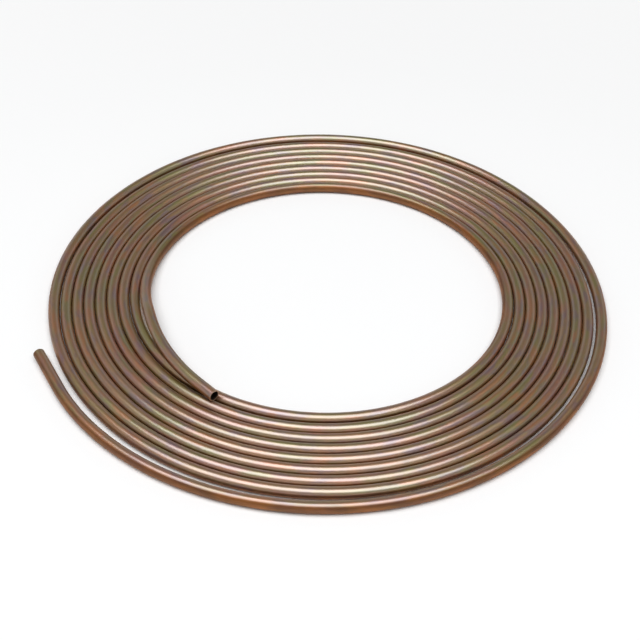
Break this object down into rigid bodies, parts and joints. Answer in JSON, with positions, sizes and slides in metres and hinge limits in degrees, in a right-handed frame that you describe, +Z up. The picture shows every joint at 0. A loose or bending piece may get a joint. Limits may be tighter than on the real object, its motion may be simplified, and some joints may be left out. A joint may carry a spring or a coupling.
{
  "type": "coil of copper-nickel tubing",
  "caption": "Flat spiral coil of bare round copper-nickel tubing, inner end lying over the turns beside it, outer end sprung free, to be cut and bent into brake, fuel or oil lines.",
  "frame": {"origin": "middle of the bounding box, on the floor the coil lies on", "axes": "+Z up along the coil's axis, +Y to the back of the picture, +X to its right"},
  "size_m": [0.3218, 0.3374, 0.0129],
  "materials": {
    "copper_nickel": "drawn and annealed, tarnished brown, unpolished"
  },
  "bodies": {
    "root": {"tube_coil": "copper_nickel"}
  },
  "joints": []
}
